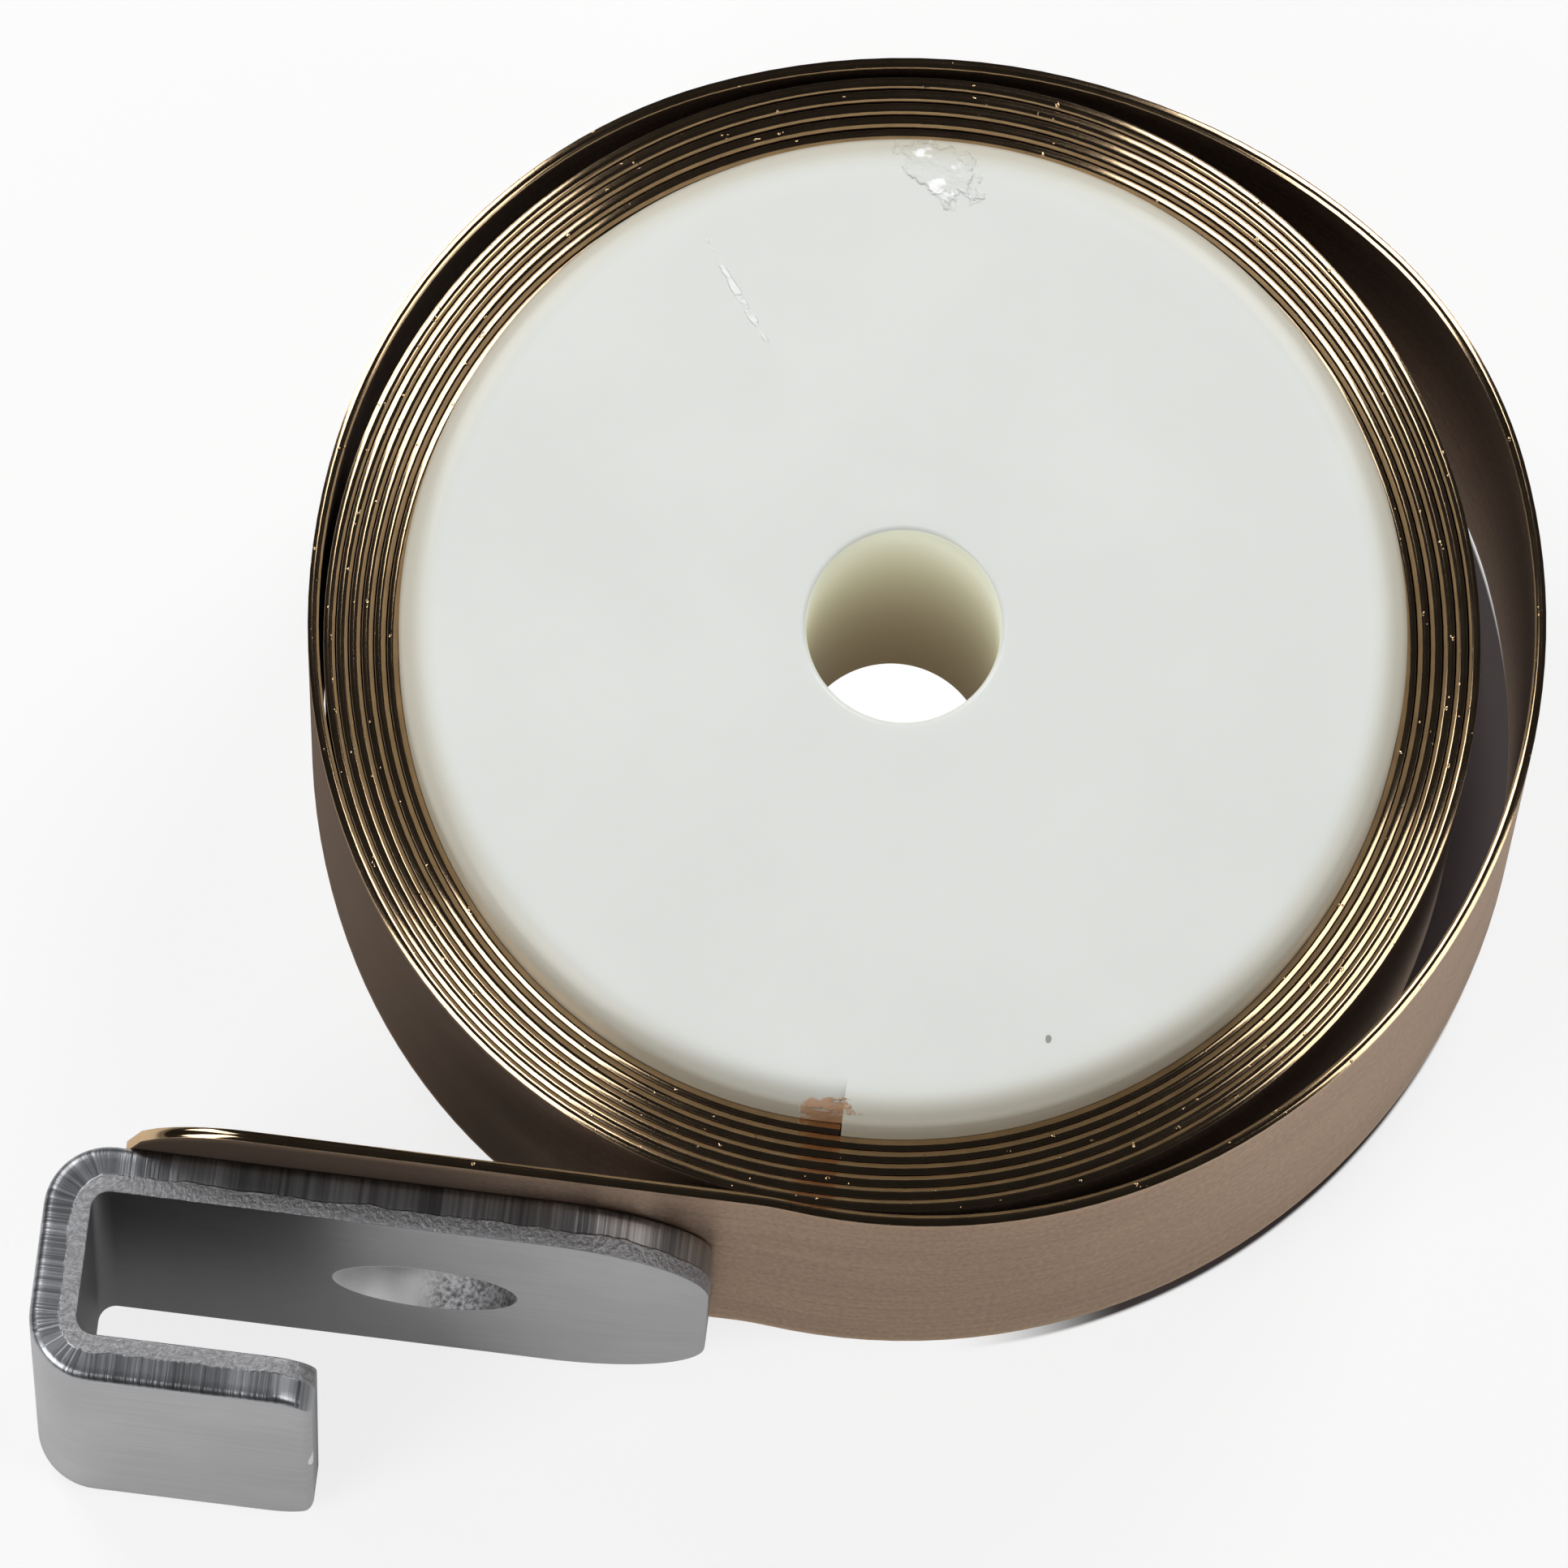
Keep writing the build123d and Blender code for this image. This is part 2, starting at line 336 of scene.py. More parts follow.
def strip_finish(look):
    """Bronze-brown tempered steel: lengthwise grain on the faces, gold-brown slit edges with nicks."""
    finish = Finish("tempered_strip")
    edge = finish.attribute("edge").step(0.35, 0.75)
    streaks = finish.noise((60, 2200, 0), detail=4, source="UV")
    weave = finish.noise((5200, 2600, 0), detail=2, source="UV")
    clouds = finish.noise((180, 260, 0), detail=3, source="UV")
    nicks = finish.noise((3000, 3000, 3000), detail=2).step(0.69, 0.76)
    tone = 0.3 * streaks + 0.45 * weave + 0.25 * clouds
    face = finish.mix(
        tone.step(0.32, 0.68), shaded(look.strip_face, 0.70), shaded(look.strip_face, 1.3)
    )
    # painted shade: faces turned toward one side are darkened, for the dark surroundings they reflect
    # there
    x, y, _ = finish.axes(finish.place())
    toward = x * math.cos(look.tint_side) + y * math.sin(look.tint_side)
    toward = toward / finish.distance(x, y)
    side = toward.step(math.cos(look.tint_fades), math.cos(look.tint_full)) * (1 - edge)
    face = finish.mix(side, face, look.strip_tint)
    slit_marks = finish.noise((900, 5000, 0), source="UV").step(0.3, 0.7)
    slit = finish.mix(slit_marks, shaded(look.strip_edge, 0.8), look.strip_edge)
    grain = streaks * 0.5 + weave * 0.5
    bump = finish.bump(grain * (1 - 0.8 * edge) + nicks * edge * 2.0, 0.006 * MM)
    return finish.close({
        "Base Color": finish.mix(edge, face, slit),
        "Metallic": 1.0,
        "Roughness": 0.36 + 0.08 * clouds - edge * 0.29 + side * 0.5,
        "Specular Tint": (*look.strip_sheen, 1.0),
        "Normal": bump,
    })


# marks on the drum: centre and radii in millimetres, and turn in degrees
MARKS = {
    "gate": ((-0.7, 15.25), (1.5, 0.9), -30),
    "scratch": ((-6.7, 10.3), (1.9, 0.12), -53),
    "scuff": ((-9.6, 1.6), (0.55, 0.30), 20),
    "speck": ((6.3, -12.95), (0.10, 0.13), 0),
    "flake": ((-0.4, -15.95), (1.2, 0.30), 3),
}


def nylon_finish(look):
    """Off-white moulded nylon: faint mottling, a rim with painted shade, a bore with painted shade toward
    its lower end and a painted glow, scuffs, and a torn gate whitened partly by painted glints.
    """
    finish = Finish("moulded_nylon")
    x, y, z = finish.axes(finish.place())
    radius = finish.distance(x, y)
    outer = DRUM_HIGH.x
    # painted shade: the rim is darker, for the shade on its rounded edge and the strip's brown seen
    # through the thin nylon
    rim = radius.step(outer - 1.3 * MM, outer - 0.1 * MM)
    in_bore = radius.step(BORE + 0.03 * MM, BORE + 0.01 * MM)
    depth = z.step(DRUM_HIGH.z + 4 * MM, DRUM_LOW.z - 2 * MM)
    mottle = finish.noise((140, 140, 140), detail=3)
    body = finish.mix(mottle.step(0.35, 0.7), shaded(look.nylon, 0.97), look.nylon)
    body = finish.mix(rim, body, look.nylon_rim)
    # painted shade: the bore darkens toward its lower end, for the shade deep inside it
    bore_shade = in_bore * z.step(DRUM_HIGH.z + 1 * MM, DRUM_LOW.z + 6 * MM)
    body = finish.mix(bore_shade, body, look.nylon_bore)
    ragged = finish.noise((1700, 1700, 0), detail=4) * 1.6
    gate = ellipse_mask(finish, ragged, *MARKS["gate"])
    chips = finish.noise((900, 1500, 900), detail=4)
    # partly painted highlight: the gate's white chips are whitened torn nylon and also stand in for
    # glints
    white = gate * chips.step(0.50, 0.58)
    body = finish.mix(white * 0.8, body, (0.95, 0.95, 0.95))
    scratch = ellipse_mask(finish, ragged, *MARKS["scratch"])
    scuff = ellipse_mask(finish, ragged, *MARKS["scuff"])
    marks = (scratch + scuff * 0.7) * chips.step(0.45, 0.6)
    body = finish.mix(marks * 0.5, body, (0.90, 0.90, 0.90))
    speck = ellipse_mask(finish, ragged, *MARKS["speck"])
    body = finish.mix(speck * 0.7, body, (0.12, 0.10, 0.07))
    flake = ellipse_mask(finish, ragged, *MARKS["flake"]) * chips.step(0.40, 0.46)
    body = finish.mix(flake, body, look.brass)
    fine = finish.noise((1500, 1500, 1500), detail=3)
    height = fine * 0.05 + (gate + flake + marks * 0.5) * chips * 3.0
    glow = finish.mix(depth, look.bore_glow, look.bore_deep_glow)
    return finish.close({
        "Base Color": body,
        "Roughness": 0.38 + 0.1 * mottle - gate * 0.2,
        "Coat Weight": 0.15,
        "Coat Roughness": 0.18,
        "Emission Color": finish.mix(in_bore, (0, 0, 0), glow),
        "Emission Strength": 1.0,
        "Normal": finish.bump(height, 0.05 * MM),
    })


def ellipse_mask(finish, ragged, centre, radii, turn):
    """1 inside a soft-edged ellipse seen along Z, and 0 outside; the ragged noise frays its edge.
    The centre and the radii are in millimetres, and the turn in degrees."""
    values = {
        "Vector": finish.place((1, 1, 0), centre=(centre[0] * MM, centre[1] * MM, 0)),
        "Rotation": (0, 0, math.radians(turn)),
        "Scale": (radii[0] * MM, radii[1] * MM, 1),
    }
    mapping = finish.node("ShaderNodeMapping", values, vector_type="TEXTURE")
    x, y, _ = finish.axes(mapping.outputs[0])
    return (finish.distance(x, y) + ragged).step(1.85, 1.55)


def aluminium_finish(look):
    """Mill-finish aluminium: brushed faces, with painted shade on the inner side toward the web. Cut
    edges are burnished and scored on one side, and torn and grainy on the other. The hole's wall has a
    painted highlight on one side and is pocked, with painted shade, on the other."""
    finish = Finish("mill_aluminium")
    cut = finish.attribute("cut").step(0.4, 0.6)
    through = finish.attribute("through")
    wander = finish.noise((500, 0, 0), detail=4, source="UV")
    torn = (through + wander * 0.34).step(0.77, 0.81)
    scores = finish.noise((7000, 60, 0), detail=3, source="UV")
    patches = finish.noise((700, 30, 0), detail=2, source="UV")
    grit = finish.noise((6000, 6000, 6000), detail=3)
    brushed = finish.noise((220, 3200, 0), detail=4, source="UV")
    clouds = finish.noise((230, 230, 230), detail=3)
    mill = (brushed * 0.5 + clouds * 0.5).step(0.35, 0.65)
    face = finish.mix(mill, shaded(look.aluminium, 0.86), look.aluminium)
    scored = (scores * 0.5 + patches * 0.5).step(0.35, 0.65)
    burnish = finish.mix(scored, shaded(look.sheared, 0.45), shaded(look.sheared, 1.3))
    grains = grit.step(0.3, 0.7)
    broken = finish.mix(grains, shaded(look.torn, 0.7), look.torn)
    edge = finish.mix(torn, burnish, broken)
    x, _, z = finish.axes(finish.place())
    toward_web = x.step(CLIP_HIGH.x - 2 * MM, CLIP_LOW.x + 3 * MM)
    # painted shade: the sheet's inner side is darkened toward the web, for the shade inside the hook
    hook_shade = finish.attribute("inside").step(0.2, 0.8) * toward_web * 0.75
    face = finish.mix(hook_shade, face, shaded(look.aluminium, 0.2))
    off = finish.distance(x - CLIP_HOLE_AT[0], z - CLIP_HOLE_AT[2])
    wall = off.step(CLIP_HOLE + 0.05 * MM, CLIP_HOLE + 0.02 * MM)
    # painted highlight and shade on the hole's wall: one side is painted near white, the other dark over
    # its real pocked grain
    pocked_and_shaded = finish.mix(grains, shaded(look.aluminium, 0.25), look.aluminium)
    wall_highlight = x.step(CLIP_HOLE_AT[0] + 0.6 * MM, CLIP_HOLE_AT[0] - 0.6 * MM)
    face = finish.mix(wall, face, finish.mix(wall_highlight, pocked_and_shaded, (0.95, 0.95, 0.95)))
    height = (1 - cut) * brushed * 0.25 + cut * ((1 - torn) * scores * 1.2 + torn * grit * 3.0)
    return finish.close({
        "Base Color": finish.mix(cut, face, edge),
        "Metallic": 1.0,
        "Roughness": 0.40 + 0.08 * clouds + cut * (torn * 0.18 - 0.1),
        "Normal": finish.bump(height, 0.02 * MM),
    })


# shade under the loose turn: circle along the turn, and where the shade starts and ends, as (from, to)
SHADE_CENTRE = (0.32 * MM, 0.85 * MM)
SHADE_OUTER = (20.58 * MM, 20.42 * MM)
SHADE_INNER = (17.2 * MM, 17.8 * MM)
SHADE_SIDE = (4 * MM, 10 * MM)


def floor_finish(look):
    """Pale floor that shows white to the camera, less so to mirrors, and keeps the part's shadow. A
    crescent under the loose turn has the coil's shade painted on, and the floor under the bore a painted
    pool of light."""
    finish = Finish("pale_floor")
    x, y, _ = finish.axes(finish.place())
    out = finish.distance(x - SHADE_CENTRE[0], y - SHADE_CENTRE[1])
    radius = finish.distance(x, y)
    clear = 1 - out.step(*SHADE_OUTER) * x.step(*SHADE_SIDE) * radius.step(*SHADE_INNER)
    # painted light: the floor seen through the bore is given nearly full white of its own, a pool of
    # light
    bore_light_pool = radius.step(2 * BORE, 1.6 * BORE)
    path = finish.node("ShaderNodeLightPath").outputs
    camera, glossy, through = (
        Number(finish, path["Is %s Ray" % kind]) for kind in ("Camera", "Glossy", "Transmission")
    )
    white_share = camera * (clear * 0.8 + bore_light_pool * 0.97) + through * 0.8 + glossy * 0.15
    tone = finish.mix(clear, look.floor_under, look.floor)
    matt = finish.node("ShaderNodeBsdfDiffuse", {"Color": tone}).outputs[0]
    white = finish.node("ShaderNodeEmission", {"Color": (1, 1, 1), "Strength": 1.0}).outputs[0]
    share = white_share.math("MINIMUM", 1.0)
    both = finish.node("ShaderNodeMixShader", {0: share, 1: matt, 2: white}).outputs[0]
    finish.node("ShaderNodeOutputMaterial", {0: both})
    return finish.material


# ------------------------------------------------------------------ surfaces
def signed_volume(points, faces):
    """Sum over the faces, split in triangles, of the corner triple products over six."""
    a, b, c, d = (points[faces[:, i]] for i in range(4))
    return (np.einsum("ij,ij->", a, np.cross(b, c)) + np.einsum("ij,ij->", a, np.cross(c, d))) / 6


def rings_mesh(name, rings, along, around, loop=False):
    """A closed skin over rings of points (station, place, xyz): neighbours are joined by four-sided
    faces, and the first and last ring are joined to each other or filled. along and around are the UV
    of every point, with one more place than the ring so that its seam has a value on both sides."""
    n, m = rings.shape[:2]
    points = rings.reshape(-1, 3)
    index = np.arange(n * m).reshape(n, m)
    corner = np.arange(n * (m + 1)).reshape(n, m + 1)
    if loop:
        index = np.vstack([index, index[:1]])
        corner = np.vstack([corner, corner[:1]])
    after = np.roll(index, -1, axis=1)
    faces = np.stack([index[:-1], index[1:], after[1:], after[:-1]], axis=-1).reshape(-1, 4)
    uv_at = [corner[:-1, :-1], corner[1:, :-1], corner[1:, 1:], corner[:-1, 1:]]
    uv_at = np.stack(uv_at, axis=-1).reshape(-1, 4)
    if signed_volume(points, faces) < 0:
        faces, uv_at = faces[:, ::-1], uv_at[:, ::-1]
        ends = [index[0], index[-1][::-1]]
    else:
        ends = [index[0][::-1], index[-1]]
    uv = [np.broadcast_to(part, (n, m + 1)) for part in (along, around)]
    uv = np.stack(uv, axis=-1).reshape(-1, 2)
    corners = uv[uv_at.ravel()]
    faces = faces.tolist()
    if not loop:
        faces += [end.tolist() for end in ends]
        corners = np.vstack([corners, np.zeros((2 * m, 2))])
    mesh = bpy.data.meshes.new(name)
    mesh.from_pydata(points.tolist(), [], faces)
    mesh.uv_layers.new(name="UVMap").data.foreach_set("uv", corners.ravel())
    mesh.update()
    return mesh


def point_values(mesh, name, values):
    """Stores one number for each point of the mesh."""
    values = np.ascontiguousarray(values, dtype=np.float32).ravel()
    mesh.attributes.new(name, "FLOAT", "POINT").data.foreach_set("value", values)


def finished(name, mesh, material, node):
    """Links the piece, shades it smooth up to 40 degrees, and lets it stand for its CAD node."""
    piece = bpy.data.objects.new(name, mesh)
    bpy.context.scene.collection.objects.link(piece)
    mesh.materials.clear()
    mesh.materials.append(material)
    mesh.shade_smooth()
    mesh.set_sharp_from_angle(angle=math.radians(40))
    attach(piece, "root")
    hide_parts(node)
    return piece


def combined(mesh, *steps):
    """Runs exact booleans on a mesh: each step is an operation and the mesh it is made with."""
    scene = bpy.context.scene.collection.objects
    body = bpy.data.objects.new("body", mesh)
    scene.link(body)
    tools = []
    for operation, other in steps:
        tool = bpy.data.objects.new("tool", other)
        scene.link(tool)
        tools.append(tool)
        modifier = body.modifiers.new(operation, "BOOLEAN")
        modifier.operation, modifier.object, modifier.solver = operation, tool, "EXACT"
    depsgraph = bpy.context.evaluated_depsgraph_get()
    result = bpy.data.meshes.new_from_object(body.evaluated_get(depsgraph))
    for item in (body, *tools):
        bpy.data.objects.remove(item)
    return result


def lengths(path):
    """Distance along a path of points."""
    return np.concatenate([[0], np.cumsum(np.linalg.norm(np.diff(path, axis=0), axis=1))])


def end_drop(distance, radius):
    """How far a rounded corner has drawn back at this distance from the end."""
    near = np.clip(radius - distance, 0, radius)
    return radius - np.sqrt(radius ** 2 - near ** 2)


# ------------------------------------------------------------------ strip
def facing(turn):
    """Unit vector in this direction."""
    return np.array([math.cos(turn), math.sin(turn)])


def pack_radius(s):
    """Radius outside the tight turns."""
    return DRUM_HIGH.x + s.tight_turns * (s.thickness + s.turn_gap)


def strip_route(s, drum, flare):
    """The strip's middle line from its inner end, as runs (start, end, facing) and arcs (centre, radius,
    from, to). The tight turns follow the snail-shaped drum. Then come four tangent arcs, the sweep under
    the pack, and the rise. flare is 0 at the strip's upper edge and 1 at its lower edge."""
    route = []
    thick, drum_radius = s.thickness, DRUM_HIGH.x
    pitch = thick + s.turn_gap
    seat_radius = drum_radius - (pitch - s.pack_drift) / (1 + math.sin(drum.seat_start))
    seat = (drum_radius - seat_radius) * facing(drum.seat_start)
    down = math.radians(270)

    def run(p, q, turn):
        route.append(("run", np.array(p), np.array(q), turn))
        return np.array(q)

    def arc(p, radius, a, b):
        centre = p - radius * facing(a)
        route.append(("arc", centre, radius, a, b))
        return centre + radius * facing(b)

    for k in range(s.tight_turns + 1):
        grown = s.drum_gap + thick / 2 + k * pitch
        bottom = np.array([seat[0], seat[1] + s.pack_drift * k - seat_radius - grown])
        p = run((-s.step_gap if k == 0 else 0.0, bottom[1]), bottom, down)
        p = arc(p, seat_radius + grown, down, drum.seat_start)
        if k < s.tight_turns:
            p = arc(p, drum_radius + grown, drum.seat_start, -math.pi / 2)
            low = thick + s.nip_gap - p[1]
    pack = pack_radius(s)
    p = arc(p, pack + s.lift_off_gain, drum.seat_start, s.lift_off_end)
    p = arc(p, pack - s.shoulder_loss, s.lift_off_end, s.shoulder_end)
    p = arc(p, pack + s.crown_gain, s.shoulder_end, s.crown_end)
    p = arc(p, pack - s.knuckle_loss, s.crown_end, s.knuckle_end)
    sweep = (p[1] + low + s.tail_lean * flare) / (1 + math.sin(s.knuckle_end))
    end = -math.pi / 2 - s.rise_angle
    p = arc(p, sweep, s.knuckle_end, end)
    climb = low - (pack - s.tail_inset) - (sweep + s.rise_bend) * (1 - math.cos(s.rise_angle))
    ramp = climb / math.tan(s.rise_angle)
    p = run(p, (p[0] - ramp, p[1] + climb), end)
    p = arc(p, -s.rise_bend, end, -math.pi / 2)
    run(p, (STRIP_LOW.x, p[1]), -math.pi / 2)
    return route


def along_route(route, counts):
    """Points and facings at counts places on each run or arc, ends shared."""
    points, turns = [], []
    for (kind, a, b, *more), count in zip(route, counts):
        t = np.linspace(0, 1, count, endpoint=False)[:, None]
        if kind == "run":
            points.append(a + (b - a) * t)
            turns.append(np.full(count, more[0]))
        else:
            turn = more[0] + (more[1] - more[0]) * t[:, 0]
            points.append(a + b * np.stack([np.cos(turn), np.sin(turn)], axis=-1))
            turns.append(turn)
    return np.vstack(points), np.concatenate(turns)


def strip_section(half, low, high, crown, count=7):
    """One closed section as (sideways, height, edge share): straight sides and edges crowned by a
    parabola, height = high - crown * (sideways / half)^2."""
    t = np.linspace(0, 1, count)
    side, rise = half * (1 - t), crown * (1 - t) ** 2
    share = np.minimum(1, 0.5 + 2 * t)
    upper = [np.concatenate([side, -side[-2::-1]]), high - np.concatenate([rise, rise[-2::-1]])]
    upper_share = np.concatenate([share, share[-2::-1]])
    levels = np.linspace(low + crown, high - crown, 8)[1:-1]
    sideways = np.concatenate([np.full(6, half), upper[0], np.full(6, -half), -upper[0]])
    heights = np.concatenate([levels, upper[1], levels[::-1], low + high - upper[1]])
    return sideways, heights, np.concatenate([np.zeros(6), upper_share, np.zeros(6), upper_share])


def strip_mesh(s, drum):
    """The section carried along the route. A point at height z takes the route for its own flare,
    (top - z) / width, and moves off it sideways along the facing. Near the free end the heights close
    in toward the middle by R - sqrt(R^2 - (R - d)^2), which rounds the corners."""
    low, high = STRIP_LOW.z, STRIP_HIGH.z
    sideways, heights, share = strip_section(s.thickness / 2, low, high, s.edge_crown)
    route = strip_route(s, drum, 0.0)
    spacing = math.radians(2.4)
    counts = [
        2 if part[0] == "run" else max(4, int(abs(part[4] - part[3]) / spacing)) for part in route
    ]
    counts[-3:] = 10, 8, 40
    top, turns = along_route(route, counts)
    bottom, _ = along_route(strip_route(s, drum, 1.0), counts)
    last = np.array([STRIP_LOW.x, s.tail_inset - pack_radius(s)])
    top = np.vstack([top, last])
    bottom = np.vstack([bottom, last - np.array([0, s.tail_lean])])
    turns = np.append(turns, -math.pi / 2)
    drop = end_drop(top[:, 0] - STRIP_LOW.x, s.end_corner)
    drop[: -counts[-1] - 1] = 0
    squeeze = 1 - 2 * drop / (high - low)
    z = (low + high) / 2 + (heights[None] - (low + high) / 2) * squeeze[:, None]
    flare = ((high - z) / (high - low))[..., None]
    middle = top[:, None] * (1 - flare) + bottom[:, None] * flare
    out = np.stack([np.cos(turns), np.sin(turns)], axis=-1)[:, None]
    rings = np.concatenate([middle + out * sideways[None, :, None], z[..., None]], axis=-1)
    lap = np.append(heights, heights[0]) - low
    mesh = rings_mesh("coiled_strip", rings, lengths(top)[:, None], lap[None])
    point_values(mesh, "edge", np.broadcast_to(share, (len(top), len(share))))
    return mesh


# ------------------------------------------------------------------ drum
def drum_mesh(drum, s):
    """A profile carried once round the axis: up the bore, over the face, round the edge, down the wall
    and back. The wall's radius is the drum's, except over the strip's seat, where it is the distance to
    the seat's circle: c.d + sqrt(R^2 - |c|^2 + (c.d)^2), for the direction d and that circle's centre
    c."""
    radius, top = DRUM_HIGH.x, DRUM_HIGH.z
    step = s.thickness + s.turn_gap - s.pack_drift
    seat_radius = radius - step / (1 + math.sin(drum.seat_start))
    centre = (radius - seat_radius) * facing(drum.seat_start)
    down = math.radians(270)
    turn = np.concatenate([
        np.linspace(drum.seat_start, down - 1e-4, 60, endpoint=True),
        np.linspace(down + 1e-4, drum.seat_start + 2 * math.pi, 230, endpoint=False),
    ])
    towards = np.stack([np.cos(turn), np.sin(turn)], axis=-1)
    dot = towards @ centre
    seat = dot + np.sqrt(seat_radius ** 2 - centre @ centre + dot ** 2)
    wall = np.where(turn < down, seat, radius)
    t = np.linspace(0, math.pi / 2, 8)
    r, b = drum.edge_round, drum.bore_round
    outer = [(r * (1 - math.sin(a)), top - r * (1 - math.cos(a))) for a in t]
    inner = [(b * (1 - math.cos(a)), top - b * (1 - math.sin(a))) for a in t]
    face = [(f, top) for f in np.linspace(0.06, 0.94, 12)]
    profile = []
    for group, kind in ((inner, "bore"), (face, "face"), (outer, "wall")):
        profile += [(kind, *pair) for pair in group]
    profile += [("wall", 0.0, top * k) for k in (0.75, 0.5, 0.25)]
    profile += [("wall", d, top - z) for d, z in outer[::-1]]
    profile += [("face", f, top - z) for f, z in face[::-1]]
    profile += [("bore", d, top - z) for d, z in inner[::-1]]
    profile += [("bore", 0.0, top * k) for k in (0.25, 0.5, 0.75)]
    rings = []
    for kind, d, z in profile:
        if kind == "bore":
            reach = np.full(len(turn), BORE + d)
        elif kind == "wall":
            reach = wall - d
        else:
            reach = (BORE + b) * (1 - d) + (wall - r) * d
        rings.append(np.column_stack([towards * reach[:, None], np.full(len(turn), z)]))
    along = np.linspace(0, 1, len(rings))[:, None]
    around = np.append(turn, turn[0] + 2 * math.pi)[None]
    return rings_mesh("nylon_drum", np.array(rings), along, around, loop=True)


# ------------------------------------------------------------------ clip
class Leaning:
    """The strip's straight run as a frame: x along the strip, v up the leaning width from the lower
    edge, and w out of its outer face."""

    def __init__(self, s):
        lean = math.atan2(s.tail_lean, STRIP_HIGH.z - STRIP_LOW.z)
        face = s.tail_inset - pack_radius(s) - s.tail_lean - s.thickness / 2
        self.origin = np.array([0, face, STRIP_LOW.z])
        self.x = np.array([1.0, 0, 0])
        self.v = np.array([0, math.sin(lean), math.cos(lean)])
        self.w = np.array([0, -math.cos(lean), math.sin(lean)])
        self.width = (STRIP_HIGH.z - STRIP_LOW.z) / math.cos(lean)

    def points(self, x, v, w):
        return self.origin + x[..., None] * self.x + v[..., None] * self.v + w[..., None] * self.w


def clip_path(c, count=14):
    """The sheet's middle as (x, w), its outward side and the distance along it: the long leg, a quarter
    turn, the web, a quarter turn and the short leg. Places crowd toward both ends, where the corners
    are rounded."""
    mid = c.bend + c.thickness / 2
    leg_w = c.strip_gap + c.thickness / 2
    hook_w = leg_w + c.thickness + c.gap
    web_x = CLIP_LOW.x + c.thickness / 2
    end_x, hook_x = CLIP_HIGH.x, CLIP_LOW.x + c.hook_leg
    crowd = 1 - np.cos(np.linspace(0, math.pi / 2, 40, endpoint=False))
    turn = np.linspace(0, math.pi / 2, count, endpoint=False)
    x = np.concatenate([
        end_x - crowd * c.leg_corner,
        np.linspace(end_x - c.leg_corner, web_x + mid, 30, endpoint=False),
        web_x + mid - mid * np.sin(turn),
        np.full(8, web_x),
        web_x + mid - mid * np.cos(turn),
        np.linspace(web_x + mid, hook_x - c.hook_corner, 12, endpoint=False),
        hook_x - c.hook_corner + c.hook_corner * np.sin(np.linspace(0, math.pi / 2, 24)),
    ])
    w = np.concatenate([
        np.full(70, leg_w),
        leg_w + mid - mid * np.cos(turn),
        np.linspace(leg_w + mid, hook_w - mid, 8, endpoint=False),
        hook_w - mid + mid * np.sin(turn),
        np.full(36, hook_w),
    ])
    out_x = [np.zeros(70), -np.sin(turn), -np.ones(8), -np.cos(turn), np.zeros(36)]
    out_w = [-np.ones(70), -np.cos(turn), np.zeros(8), np.sin(turn), np.ones(36)]
    middle = np.column_stack([x, w])
    outward = np.column_stack([np.concatenate(out_x), np.concatenate(out_w)])
    return middle, outward, lengths(middle)


def clip_mesh(c, s):
    """A section with a rolled outer edge and a sharp inner edge, carried along the bent sheet's middle.
    Toward the two ends it narrows by the corner's circle, and its two sides close in by the rolled
    edge's circle."""
    lean = Leaning(s)
    middle, outward, along = clip_path(c)
    total = along[-1]
    top = lean.width - c.setback
    half_width, centre_v = c.width / 2, top - c.width / 2
    quarter = np.linspace(0, math.pi / 2, 6)
    half, roll, sharp = c.thickness / 2, c.outer_roll, c.inner_roll
    # half of the section's loop, from the outside face to the inside: place in the sheet's thickness,
    # and distance back from the cut edge
    out = np.concatenate([
        half - roll + roll * np.cos(quarter),
        np.linspace(half - roll, -half + sharp, 7)[1:-1],
        -half + sharp - sharp * np.sin(quarter),
    ])
    back = np.concatenate([
        roll - roll * np.sin(quarter),
        np.zeros(5),
        sharp - sharp * np.cos(quarter),
    ])
    side_out = np.concatenate([out, out[::-1]])
    side_v = np.concatenate([half_width - back, -(half_width - back[::-1])])
    cut = np.concatenate([np.zeros(2), np.ones(len(out) - 4), np.zeros(2)])
    cut = np.concatenate([cut, cut[::-1]])
    through = (half - side_out) / c.thickness
    drop = end_drop(along, c.leg_corner) + end_drop(total - along, c.hook_corner)
    pinch = np.minimum(along, total - along)
    outer_pinch, inner_pinch = end_drop(pinch, roll), end_drop(pinch, sharp)
    v = centre_v + side_v[None] * (1 - drop[:, None] / half_width)
    outer_share = np.where(side_out > 0, side_out / half, 0)
    inner_share = np.where(side_out < 0, -side_out / half, 0)
    shift = side_out[None] - outer_share[None] * outer_pinch[:, None]
    shift = shift + inner_share[None] * inner_pinch[:, None]
    flat = middle[:, None] + outward[:, None] * shift[..., None]
    rings = lean.points(flat[..., 0], v, flat[..., 1])
    around = np.append(side_v + side_out, side_v[0] + side_out[0])
    mesh = rings_mesh("bent_clip", rings, along[:, None], around[None])
    point_values(mesh, "cut", np.broadcast_to(cut, (len(along), len(cut))))
    point_values(mesh, "through", np.broadcast_to(through, (len(along), len(through))))
    return mesh


